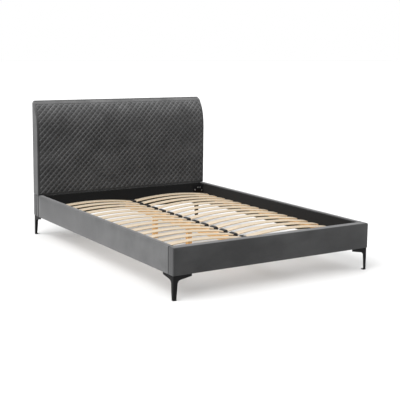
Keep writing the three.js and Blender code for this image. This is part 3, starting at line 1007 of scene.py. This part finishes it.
def bolt_on(place, outward):
    """A bolt head at a place, facing along an axis."""
    points, faces = bolt_mesh()
    turn = np.array(Vector(outward).to_track_quat("Z", "Y").to_matrix())
    return points @ turn.T + np.array(place), faces


def corner_brackets():
    for corner, sx, sy, turn in CORNERS:
        node = f"corner_bracket_{corner}"
        lo, hi = box(node)
        wing, thick = hi[0] - lo[0], BRACKET_THICK
        outline = [(0, 0), (wing, 0), (wing, thick), (thick, thick), (thick, wing), (0, wing)]
        place = (lo[0] if sx < 0 else hi[0], lo[1] if sy < 0 else hi[1], 0)
        angle = math.radians(turn)
        points, faces = plate_mesh(outline, lo[2], hi[2])
        plate = piece(f"{node}_plate", turned(points, angle, place), faces, [STEEL], "black_steel", [node])
        bevelled(plate, 0.0008)
        bolts = []
        for reach, z in BRACKET_BOLTS:
            bolts += [bolt_on((reach, thick, z), (0, 1, 0)), bolt_on((thick, reach, z), (1, 0, 0))]
        points, faces = merged(*bolts)
        heads = piece(f"{node}_bolts", turned(points, angle, place), faces, [ZINC], "zinc_steel", [node])
        heads.data.set_sharp_from_angle(angle=math.radians(38))


corner_brackets()


def hanger(node):
    """A bent steel stirrup with eased edges, on its frame solid's shape."""
    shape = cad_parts[node]
    points = [shape.matrix_world @ v.co for v in shape.data.vertices]
    faces = [list(polygon.vertices) for polygon in shape.data.polygons]
    made = piece(f"{node}_stirrup", points, faces, [ZINC], "zinc_steel", [node])
    apply_modifier(made, "WELD", merge_threshold=0.00002)
    bevelled(made, 0.0006)


for end in ("foot", "head"):
    hanger(f"centre_rail_hanger_{end}")

# ---- Boards, which stay as they are in the frame ----------------------------------------------

for node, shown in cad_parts.items():
    if node.endswith("_board"):
        shown.data.materials.clear()
        shown.data.materials.append(CHIPBOARD)

# ---- Studio ---------------------------------------------------------------------------------

CAMERA_PLACE = Vector((-3.1775, -5.1715, 1.4251))
CAMERA_YAW = math.radians(32.352)
CAMERA_PITCH = math.radians(8.652)
CAMERA_ROLL = math.radians(0.657)
AMBIENT = 0.24


def make_camera():
    data = bpy.data.cameras.new("camera")
    data.sensor_width = 36
    data.lens = 79.245
    data.shift_y = -0.05
    data.clip_end = 200
    camera = bpy.data.objects.new("camera", data)
    forward = Vector((
        math.sin(CAMERA_YAW) * math.cos(CAMERA_PITCH),
        math.cos(CAMERA_YAW) * math.cos(CAMERA_PITCH),
        -math.sin(CAMERA_PITCH),
    ))
    level = Vector((math.cos(CAMERA_YAW), -math.sin(CAMERA_YAW), 0))
    above = level.cross(forward)
    right = level * math.cos(CAMERA_ROLL) + above * math.sin(CAMERA_ROLL)
    up = above * math.cos(CAMERA_ROLL) - level * math.sin(CAMERA_ROLL)
    turn = Matrix((right, up, -forward)).transposed().to_4x4()
    camera.matrix_world = Matrix.Translation(CAMERA_PLACE) @ turn
    bpy.context.scene.collection.objects.link(camera)
    bpy.context.scene.camera = camera


def make_sun(name, towards, strength, softness):
    """Distant light from a direction, as soft as a panel that many degrees across."""
    data = bpy.data.lights.new(name, "SUN")
    data.energy = strength
    data.angle = math.radians(softness)
    light = bpy.data.objects.new(name, data)
    light.matrix_world = Vector(towards).to_track_quat("Z", "Y").to_matrix().to_4x4()
    bpy.context.scene.collection.objects.link(light)


def make_floor():
    n = Nodes("pale_floor")
    clouds = n.noise(n.place(), 0.8, detail=2)
    colour = n.ramp(clouds, [(0.3, (0.50, 0.50, 0.50)), (0.7, (0.52, 0.52, 0.52))])
    material = n.finish(colour, 0.9, Specular_IOR_Level=0.1)
    mesh = bpy.data.meshes.new("studio_floor")
    reach = 60
    mesh.from_pydata(
        [(-reach, -reach, 0), (reach, -reach, 0), (reach, reach, 0), (-reach, reach, 0)], [], [(0, 1, 2, 3)]
    )
    mesh.materials.append(material)
    floor = bpy.data.objects.new("studio_floor", mesh)
    bpy.context.scene.collection.objects.link(floor)


def make_world():
    """Even light from all round, against a white backdrop."""
    world = bpy.data.worlds.new("studio")
    world.use_nodes = True
    tree = world.node_tree
    seen = tree.nodes.new("ShaderNodeLightPath")
    strength = tree.nodes.new("ShaderNodeMapRange")
    strength.inputs["To Min"].default_value = AMBIENT
    strength.inputs["To Max"].default_value = 1.0
    tree.links.new(seen.outputs["Is Camera Ray"], strength.inputs["Value"])
    sky = tree.nodes["Background"]
    sky.inputs["Color"].default_value = (1, 1, 1, 1)
    tree.links.new(strength.outputs["Result"], sky.inputs["Strength"])
    bpy.context.scene.world = world


make_camera()
make_floor()
make_world()
make_sun("key_upper_left", (-0.74, -0.10, 0.66), 4.3, 65)
make_sun("overhead", (0.0, -0.12, 1.0), 4.2, 120)
bpy.context.scene.view_settings.view_transform = "Standard"
